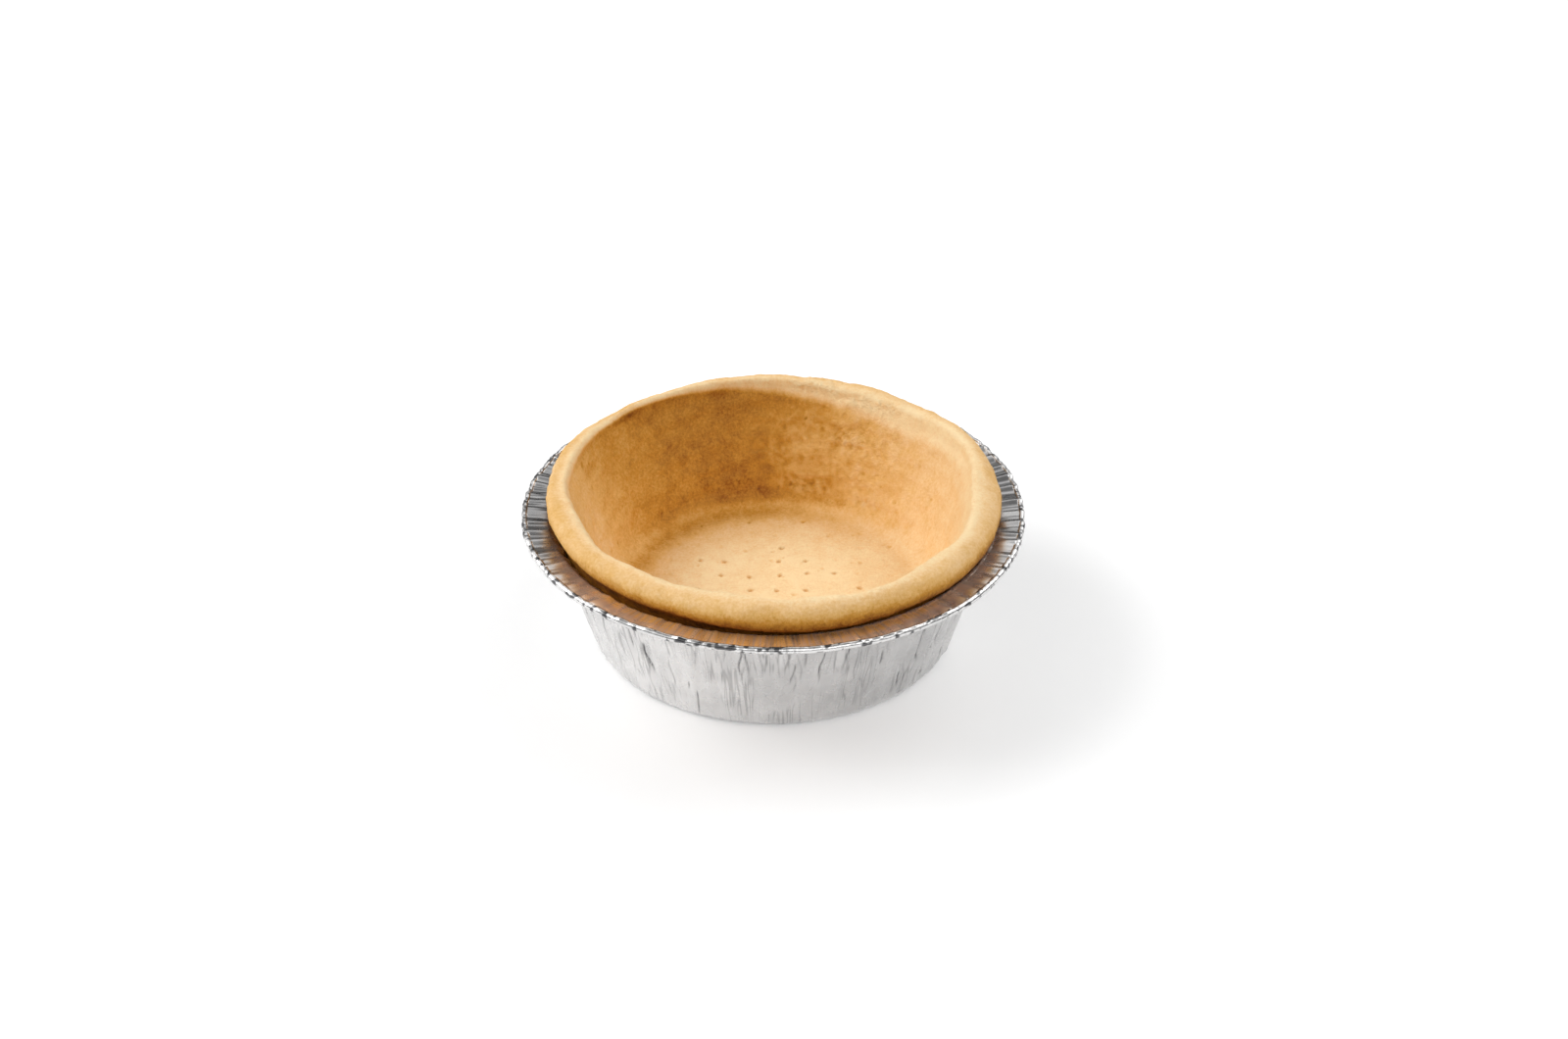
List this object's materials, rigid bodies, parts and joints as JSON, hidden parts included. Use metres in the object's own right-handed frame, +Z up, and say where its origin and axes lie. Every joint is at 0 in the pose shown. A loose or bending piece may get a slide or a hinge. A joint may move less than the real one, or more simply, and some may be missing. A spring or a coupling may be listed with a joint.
{
  "type": "pastry case in a foil dish",
  "caption": "Empty baked quiche case: a round pastry shell with a thick rim and pricked floor, standing in a shallow pleated foil dish with a curled edge.",
  "frame": {"origin": "centre of the foil dish's base, on the surface that it stands on", "axes": "+Z up, along the axis of the round dish; -Y is the side nearest the camera in the picture"},
  "size_m": [0.12, 0.12, 0.0402],
  "materials": {
    "foil": "bright rolled foil with sharp pleats",
    "pastry": "baked shortcrust, matt and finely grained"
  },
  "bodies": {
    "root": {"foil_dish": "foil", "pastry_case": "pastry"}
  },
  "joints": []
}
